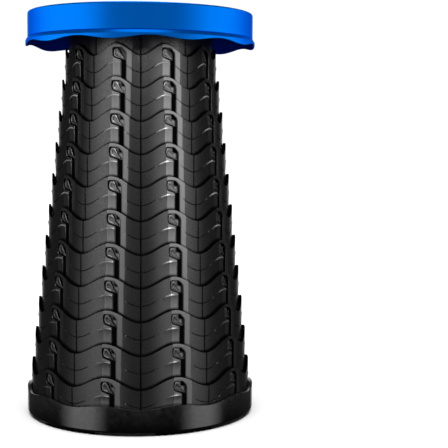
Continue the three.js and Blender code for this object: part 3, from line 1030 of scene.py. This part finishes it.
def add_flat(shape, z, rim, holes):
    """A level face inside the rim and outside the holes."""
    drawing = Drawing()
    drawing.line(rim, closed=True)
    for hole in holes:
        drawing.line(hole, closed=True)
    points, faces = drawing.filled(rim, holes)
    shape.add([(x, y, z) for x, y in points], faces)


def add_wall(shape, x, y, rings, steps, wear_and_sheen=None):
    """Bands between circles (radius, z) about the point x, y, open at both ends."""
    points, wear_and_highlight = [], []
    for number, (radius, z) in enumerate(rings):
        points += [(px, py, z) for px, py in circle(x, y, radius, steps)]
        wear_and_highlight += [wear_and_sheen[number] if wear_and_sheen else 0.0] * steps
    shape.add(points, strip_faces(len(rings), steps), 0, wear_and_highlight)


DISC_STEPS = 120
FINGER_STEPS = 56
FINGER_ROUND = 1.1
FINGER_ROUND_STEPS = 6
GRIP_ROUND = 0.35


def grip_disc():
    shape = Shape()
    flange_top = HEIGHT - SEAT_TOP_THICKNESS - CLEARANCE
    flange_foot = flange_top - GRIP_FLANGE_THICKNESS
    tube = FINGER_RADIUS + FINGER_TUBE_WALL
    centres = (-FINGER_X, FINGER_X)
    mouth = [circle(x, 0, FINGER_RADIUS + FINGER_ROUND, FINGER_STEPS) for x in centres]
    outside = [circle(x, 0, tube + 0.6, FINGER_STEPS) for x in centres]
    add_flat(shape, HEIGHT, circle(0, 0, GRIP_RADIUS - GRIP_ROUND, DISC_STEPS), mouth)
    add_flat(shape, flange_foot, circle(0, 0, GRIP_FLANGE_RADIUS - 0.4, DISC_STEPS), outside)
    rim = [
        (GRIP_RADIUS - GRIP_ROUND, HEIGHT),
        (GRIP_RADIUS - 0.1, HEIGHT - 0.1),
        (GRIP_RADIUS, HEIGHT - GRIP_ROUND),
        (GRIP_RADIUS, flange_top),
        (GRIP_FLANGE_RADIUS - 0.3, flange_top),
        (GRIP_FLANGE_RADIUS, flange_top - 0.3),
        (GRIP_FLANGE_RADIUS, flange_foot + 0.4),
        (GRIP_FLANGE_RADIUS - 0.4, flange_foot),
    ]
    add_wall(shape, 0, 0, rim, DISC_STEPS, [0.0, 0.8, 0.2] + [0.0] * 5)
    lip = []
    for step in range(FINGER_ROUND_STEPS + 1):
        angle = math.radians(90 + 90 * step / FINGER_ROUND_STEPS)
        radius = FINGER_RADIUS + FINGER_ROUND * (1 + math.cos(angle))
        lip.append((radius, HEIGHT - FINGER_ROUND * (1 - math.sin(angle))))
    bore = lip + [
        (FINGER_RADIUS, HEIGHT - 9.0),
        (FINGER_RADIUS - 0.25, HEIGHT - 9.4),
        (FINGER_RADIUS - 0.35, FINGER_TUBE_FOOT_Z + 0.5),
        (FINGER_RADIUS + 0.1, FINGER_TUBE_FOOT_Z),
        (tube - 0.4, FINGER_TUBE_FOOT_Z),
        (tube, FINGER_TUBE_FOOT_Z + 0.4),
        (tube, flange_foot - 0.8),
        (tube + 0.6, flange_foot),
    ]
    wear_and_highlight = [0.4] * len(lip) + [0.0, 0.6] + [0.0] * 6
    for x in centres:
        add_wall(shape, x, 0, bore, FINGER_STEPS, wear_and_highlight)
    return shape.piece("grip_plate", "seat", "seat_blue", [seat_blue], ["grip_disc"])


def add_bar(shape, length, width, height, azimuth, start, foot):
    """A radial rib that starts at a distance from the axis, slightly narrower at its top."""
    corners = []
    angle = math.radians(azimuth)
    half = width / 2
    for z, half in ((foot, half), (foot + height - 0.3, half - 0.1), (foot + height, half - 0.35)):
        for along, side in ((start, -half), (start, half), (start + length, half), (start + length, -half)):
            x = along * math.sin(angle) + side * math.cos(angle)
            y = -along * math.cos(angle) + side * math.sin(angle)
            corners.append((x, y, z))
    faces = [(3, 2, 1, 0), (8, 9, 10, 11)] + strip_faces(3, 4)
    shape.add(corners, faces, 0, [0.0] * 4 + [0.4] * 8)


def wall_end(inner, outer, z, up):
    """The rounded foot of a ring wall as (radius, z), or its top where `up` is below zero."""
    return [(inner, z + up), (inner + abs(up), z), (outer - abs(up), z), (outer, z + up)]


def seat_frame():
    """The ribbed plate that stiffens the seat, inside the neck."""
    shape = Shape()
    rim_inner = FRAME_RIM - FRAME_RIB
    hub_inner = FRAME_HUB - FRAME_RIB
    crown = HEIGHT - SEAT_TOP_THICKNESS - CLEARANCE
    tube = FINGER_RADIUS + FINGER_TUBE_WALL + CLEARANCE
    holes = [circle(x, 0, tube, FINGER_STEPS) for x in (-FINGER_X, FINGER_X)]
    disc = circle(0, 0, hub_inner, DISC_STEPS)
    add_flat(shape, FRAME_PLATE_TOP_Z, disc, holes)
    add_flat(shape, FRAME_PLATE_Z, disc, holes)
    for x in (-FINGER_X, FINGER_X):
        add_wall(shape, x, 0, [(tube, FRAME_PLATE_TOP_Z), (tube, FRAME_PLATE_Z)], FINGER_STEPS)
    walls = [(hub_inner, FRAME_PLATE_Z)]
    walls += wall_end(hub_inner, FRAME_HUB, FRAME_FOOT_Z, FRAME_ROUND)
    walls += [(FRAME_HUB, FRAME_PLATE_Z), (rim_inner, FRAME_PLATE_Z)]
    walls += wall_end(rim_inner, FRAME_RIM, FRAME_FOOT_Z, FRAME_ROUND)
    walls += reversed(wall_end(rim_inner, FRAME_RIM, crown, -FRAME_ROUND))
    walls += [(rim_inner, FRAME_PLATE_TOP_Z), (hub_inner, FRAME_PLATE_TOP_Z)]
    add_wall(shape, 0, 0, walls, DISC_STEPS)
    length = rim_inner - FRAME_HUB + 1
    height = FRAME_PLATE_Z - FRAME_FOOT_Z
    for rib in range(SCREWS):
        add_bar(shape, length, FRAME_RIB, height, 360 / SCREWS * rib, FRAME_HUB - 0.5, FRAME_FOOT_Z)
    shape.piece("seat_stiffener", "seat", "inner_black", [inner_black], ["seat_frame"])


def screws(screw, body, word):
    """Pan head screws with a cross recess in the head, which faces down."""
    head, shank = screw["head"], screw["shank"]
    top = screw["top"]
    foot = top - screw["head_height"]
    for number, (x, y, _) in enumerate(screw_places(screw), 1):
        shape = Shape()
        outline = [
            (head * 0.45, foot),
            (head * 0.8, foot + 0.1),
            (head * 0.97, foot + 0.3),
            (head, foot + 0.55),
            (head, top - 0.1),
            (head - 0.1, top),
            (shank, top),
        ]
        for turn in range(int((screw["length"] - 1.5) / THREAD_PITCH)):
            z = top + 0.4 + turn * THREAD_PITCH
            outline += [(shank * 0.8, z), (shank, z + 0.35), (shank, z + 0.5), (shank * 0.8, z + 0.85)]
        tip = top + screw["length"]
        outline += [(shank * 0.7, tip - 0.4), (0.2, tip)]
        add_wall(shape, x, y, outline, SCREW_STEPS, [0.2] * len(outline))
        add_cross_recess(shape, x, y, foot, head * 0.45, min(0.8, screw["head_height"] * 0.5), SCREW_STEPS)
        cap = circle(x, y, 0.2, SCREW_STEPS)
        shape.add([(px, py, tip) for px, py in cap], [tuple(range(SCREW_STEPS))])
        shape.piece(f"{word}_pan_{number:02d}", body, "screw_steel", [screw_steel], [f"{word}_{number:02d}"])


THREAD_PITCH = 1.2
SCREW_STEPS = 28


def add_cross_recess(shape, x, y, z, radius, depth, steps):
    """The level face of a screw head, with a cross sunk into it."""
    arm, half = radius * 0.8, radius * 0.2
    cross = []
    for quarter in range(4):
        angle = math.radians(90 * quarter)
        for u, v in ((arm, -half), (arm, half), (half, half)):
            turn = math.cos(angle), math.sin(angle)
            cross.append((x + u * turn[0] - v * turn[1], y + u * turn[1] + v * turn[0]))
    rim = circle(x, y, radius, steps)
    add_flat(shape, z, rim, [cross])
    count = len(cross)
    heart = [(x + (px - x) * 0.75, y + (py - y) * 0.75) for px, py in cross]
    points = [(px, py, z) for px, py in cross] + [(px, py, z + depth) for px, py in heart]
    shape.add(points, strip_faces(2, count) + [tuple(range(2 * count - 1, count - 1, -1))])


seat_parts = [seat_cover(), grip_disc()]
seat_frame()
screws(SEAT_SCREW, "seat", "seat_screw")


# ---- base


def base_ring():
    shape = Shape()
    corners = [
        (BASE_LEDGE_RADIUS, BASE_BOTTOM_Z, 0.4),
        (BASE_RADIUS, BASE_BOTTOM_Z, 3.6),
        (BASE_RADIUS, BASE_CREST_Z, 1.1),
        (BASE_INSIDE, BASE_CREST_Z, 0.5),
        (BASE_INSIDE, BASE_LEDGE_TOP_Z, 0.8),
        (BASE_LEDGE_RADIUS, BASE_LEDGE_TOP_Z, 0.4),
    ]
    outline = rounded(corners, 6)
    middle = (BASE_RADIUS + BASE_INSIDE) / 2
    # painted highlight: a light line painted along the outer top edge of the rim
    wear_and_highlight = [0.9 if radius > middle and z > BASE_CREST_Z - 1.2 else 0.0 for radius, z in outline]
    turned(shape, outline, ROUND_STEPS, wear_and_highlight, 0, base_wave)
    return shape.piece("base_rim", "base", "rim_black", [rim_black], ["base_ring"])


def base_plate():
    shape = Shape()
    top = BASE_LEDGE_TOP_Z
    corners = [
        (0.01, BASE_BOTTOM_Z + 0.7, 0),
        (30, BASE_BOTTOM_Z + 0.7, 0.3),
        (31, BASE_BOTTOM_Z, 0.3),
        (PLATE_RADIUS, BASE_BOTTOM_Z, 0.4),
        (PLATE_RADIUS, top, 0.4),
        (PLATE_RADIUS - 6, top, 0),
        (0.01, top, 0),
    ]
    outline = rounded(corners)
    turned(shape, outline, DISC_STEPS, bent_edges(outline))
    for rib in range(PLATE_RIBS):
        add_bar(shape, BASE_FLANGE["inner"] - 14, FRAME_RIB, 2.9, 360 / PLATE_RIBS * rib, 10, top - 0.5)
    shape.piece("base_floor", "base", "inner_black", [inner_black], ["base_plate"])


FOOT_TREADS = 9
TREAD = ((0.12, 0.45), (0.2, 0), (0.8, 0), (0.88, 0.45))  # share of the way along, and height of its face


def feet():
    """Curved rubber pads with small cross grooves in the face that stands on the floor."""
    for number in range(FEET):
        shape = Shape()
        centre = FOOT_START + 360 / FEET * number
        inner, outer = FOOT_INNER, FOOT_OUTER
        stations = []
        for tread in range(FOOT_TREADS):
            start = -FOOT_ARC / 2 + FOOT_ARC / FOOT_TREADS * tread
            width = FOOT_ARC / FOOT_TREADS
            stations += [(start + width * share, foot) for share, foot in TREAD]
        stations = [(-FOOT_ARC / 2, 0.5), (-FOOT_ARC / 2 + 0.05, 0.45)] + stations + [(FOOT_ARC / 2, 0.5)]
        points = []
        for azimuth, foot in stations:
            ring = [
                (inner, FOOT_HEIGHT),
                (inner, foot + 0.3),
                (inner + 0.4, foot),
                (outer - 0.4, foot),
                (outer, foot + 0.3),
                (outer, FOOT_HEIGHT),
            ]
            points += [on_circle(radius, centre + azimuth, z) for radius, z in ring]
        last = len(points) - len(ring)
        ends = [tuple(reversed(range(len(ring)))), tuple(range(last, len(points)))]
        shape.add(points, strip_faces(len(stations), len(ring)) + ends)
        name = f"foot_{number + 1:02d}"
        shape.piece(f"rubber_{name}", "base", "foot_rubber", [foot_rubber], [name])


rim = base_ring()
base_plate()
screws(BASE_SCREW, "base", "base_screw")
feet()


# ---- floor and light


def stage_mesh(name, corners, faces, material):
    mesh = bpy.data.meshes.new(name)
    mesh.from_pydata(corners, [], faces)
    mesh.materials.append(material)
    made = new_object(name, mesh)
    return made


def pale_floor():
    made, tree, shader = new_material("pale_floor")
    cloud = between(tree, noise(tree, *FLOOR_CLOUDS), 0, 1)
    tree.links.new(blend_colour(tree, cloud, *FLOOR_TONES), shader.inputs["Base Color"])
    shader.inputs["Roughness"].default_value = 0.9
    shader.inputs["Specular IOR Level"].default_value = 0.1
    return made


FLOOR_CLOUDS = (3, 3)
FLOOR_TONES = ((0.90, 0.90, 0.90), (0.93, 0.93, 0.93))
FLOOR_RADIUS = 9000
FLOOR_Z = -0.05  # just under the feet
floor_edge = [Vector(on_circle(FLOOR_RADIUS, azimuth, FLOOR_Z)) * MM for azimuth in range(0, 360, 6)]
floor = stage_mesh("floor", floor_edge, [tuple(range(len(floor_edge)))], pale_floor())
floor.visible_glossy = False
floor.visible_diffuse = False
stool = [made for made in scene.objects if made.type == "MESH" and made != floor]


def put_lamp(name, data, place, target):
    lamp = new_object(name, data)
    facing = Vector(target) - Vector(place)
    lamp.matrix_world = Matrix.Translation(place) @ facing.to_track_quat("-Z", "Y").to_matrix().to_4x4()
    return lamp


def soft_light(name, place, target, width, height, watts):
    """A rectangular studio light that faces a point."""
    data = bpy.data.lights.new(name, "AREA")
    data.shape = "RECTANGLE"
    data.size, data.size_y = width, height
    data.energy = watts
    return put_lamp(name, data, place, target)


def lights_only(lamp, name, pieces):
    """Makes a light fall on these pieces alone."""
    group = bpy.data.collections.new(name)
    for piece in pieces:
        group.objects.link(piece)
    lamp.light_linking.receiver_collection = group


def softbox(name, distance, low, high, fades, strength, low_share):
    """A glowing sheet on part of an upright cylinder about the stool.

    fades are four azimuths: the glow grows from the first to the second, holds to the third, and is gone at
    the fourth. It grows from low_share at the sheet's foot to 1 at BRIGHT_Z.
    """
    made, tree, _ = new_material(name)
    tree.nodes.clear()
    place = object_place(tree)
    azimuth = tree.nodes.new("ShaderNodeMath")
    azimuth.operation = "ARCTAN2"
    tree.links.new(place["X"], azimuth.inputs[0])
    tree.links.new(times(tree, place["Y"], -1.0), azimuth.inputs[1])
    start, full, hold, end = (math.radians(value) for value in fades)
    grows = between(tree, azimuth.outputs["Value"], 0.0, 1.0, start, full)
    fades_out = between(tree, azimuth.outputs["Value"], 1.0, 0.0, hold, end)
    up = between(tree, place["Z"], low_share, 1.0, low, BRIGHT_Z)
    glow = tree.nodes.new("ShaderNodeEmission")
    across = times(tree, times(tree, grows, fades_out), up)
    tree.links.new(times(tree, across, strength), glow.inputs["Strength"])
    both = tree.nodes.new("ShaderNodeAddShader")
    tree.links.new(glow.outputs["Emission"], both.inputs[0])
    tree.links.new(tree.nodes.new("ShaderNodeBsdfTransparent").outputs["BSDF"], both.inputs[1])
    output = tree.nodes.new("ShaderNodeOutputMaterial")
    tree.links.new(both.outputs["Shader"], output.inputs["Surface"])
    first, last = min(fades), max(fades)
    columns = [first + (last - first) * i / SOFTBOX_FACETS for i in range(SOFTBOX_FACETS + 1)]
    corners = [Vector(on_circle(distance, azimuth, z)) for azimuth in columns for z in (low, high)]
    faces = [(2 * i, 2 * i + 2, 2 * i + 3, 2 * i + 1) for i in range(SOFTBOX_FACETS)]
    sheet = stage_mesh(name, corners, faces, made)
    sheet.visible_camera = False
    sheet.visible_shadow = False
    return sheet


SOFTBOX_FACETS = 24
BRIGHT_Z = 0.4

# For each sheet: its distance, foot and top in metres, its fades, strength and low_share
WALL_SHEETS = {
    "wall_softbox_left": (1.7, -0.6, 1.0, (-14, -36, -48, -80), 3.3, 0.3),
    "wall_softbox_right": (1.7, -0.6, 1.0, (13, 26, 48, 80), 3.2, 0.3),
    "wall_softbox_top": (1.0, 1.0, 2.3, (-42, 40, 46, 58), 17, 1.0),
}
RIM_SHEETS = {
    "rim_softbox_left": (1.7, -0.8, 1.0, (-32, -48, -66, -84), 2.2, 1.0),
    "rim_softbox_right": (1.7, -0.8, 1.0, (38, 54, 70, 88), 2.2, 1.0),
}
SEAT_SHEETS = {
    "seat_softbox_left": (1.7, -0.3, 1.2, (-30, -56, -105, -168), 2.0, 0.7),
    "seat_softbox_right": (1.7, -0.3, 1.2, (38, 68, 98, 165), 1.95, 0.7),
    "seat_softbox_front": (1.7, -0.3, 1.2, (-60, -40, 40, 60), 0.5, 0.7),
}
for sheets, lit in ((WALL_SHEETS, walls), (RIM_SHEETS, [rim]), (SEAT_SHEETS, seat_parts)):
    for name, settings in sheets.items():
        sheet = softbox(name, *settings)
        sheet.visible_diffuse = name != "wall_softbox_top"  # the top sheet only adds to the gloss
        lights_only(sheet, f"{name}_lights", lit)

# For each lamp: its place, the point that it faces, width, height, watts, and the pieces that it lights
LAMPS = {
    "light_top": ((0.0, 0.4, 1.6), (0, 0, 0.25), 0.9, 0.7, 10, stool),
    "light_lip": ((0.0, -0.6, 1.6), (0, 0, 0.42), 0.9, 0.4, 3, seat_parts),
    "light_front": ((0.0, -1.5, 0.9), (0, 0, 0.3), 0.9, 0.4, 14, walls),
}
for name, (*settings, lit) in LAMPS.items():
    lights_only(soft_light(name, *settings), f"{name}_lights", lit)

FLOOR_LIGHT = 4.75
SUN_WIDTH = 70
sun = bpy.data.lights.new("floor_light", "SUN")
sun.energy = FLOOR_LIGHT
sun.angle = math.radians(SUN_WIDTH)
lights_only(put_lamp("floor_light", sun, (0, -0.3, 3), (0, 0, 0)), "floor_lights", [floor])

BACKDROP_EDGE = 0.92  # the white backdrop stands where the direction's +Y share is above this
BACKDROP_BLUR = 0.03
BACKDROP_GLOW = 0.9
SURROUND_GLOW = 0.035
CAMERA_WHITE = 1.05
world = bpy.data.worlds.new("studio")
scene.world = world
world.use_nodes = True
sky = world.node_tree
surround = sky.nodes["Background"]
surround.inputs["Color"].default_value = (1, 1, 1, 1)
towards = sky.nodes.new("ShaderNodeTexCoord")
parts = sky.nodes.new("ShaderNodeSeparateXYZ")
sky.links.new(towards.outputs["Generated"], parts.inputs["Vector"])
edge = BACKDROP_EDGE - BACKDROP_BLUR, BACKDROP_EDGE + BACKDROP_BLUR
backdrop = between(sky, parts.outputs["Y"], SURROUND_GLOW, BACKDROP_GLOW, *edge)
path = sky.nodes.new("ShaderNodeLightPath")
level = sky.nodes.new("ShaderNodeMapRange")
level.inputs["To Max"].default_value = CAMERA_WHITE
sky.links.new(path.outputs["Is Camera Ray"], level.inputs["Value"])
sky.links.new(backdrop, level.inputs["To Min"])
sky.links.new(level.outputs["Result"], surround.inputs["Strength"])
